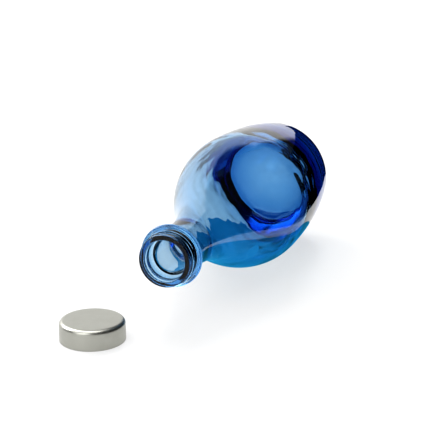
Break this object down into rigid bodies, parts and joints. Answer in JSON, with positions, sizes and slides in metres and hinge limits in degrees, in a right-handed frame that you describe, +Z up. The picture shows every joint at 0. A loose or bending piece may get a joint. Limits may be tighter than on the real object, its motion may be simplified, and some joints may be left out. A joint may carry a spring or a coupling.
{
  "type": "screw-cap glass bottle",
  "caption": "Round transparent blue glass bottle with a long tapered shoulder and a thick base, lying on its side, with its brushed steel screw cap taken off and standing beside the mouth.",
  "frame": {"origin": "on the ground, under the middle of the box round the lying bottle and its cap", "axes": "+Z up, +Y along the lying bottle from its mouth to its foot, +X to the right of someone who looks into the mouth's end"},
  "size_m": [0.1238, 0.2926, 0.1039],
  "materials": {
    "blue_glass": "fire-polished, clear",
    "brushed_steel": "satin brushed",
    "liner_plastic": "moulded polypropylene",
    "seal_silicone": "soft silicone"
  },
  "bodies": {
    "bottle": {"glass_bottle": "blue_glass"},
    "cap": {"cap_shell": "brushed_steel", "cap_liner": "liner_plastic", "cap_seal": "seal_silicone"}
  },
  "joints": [
    {"name": "cap_lift", "type": "slide", "parent": "bottle", "child": "cap", "axis": [0, 0, 1], "range_m": [0, 0.12]}
  ]
}
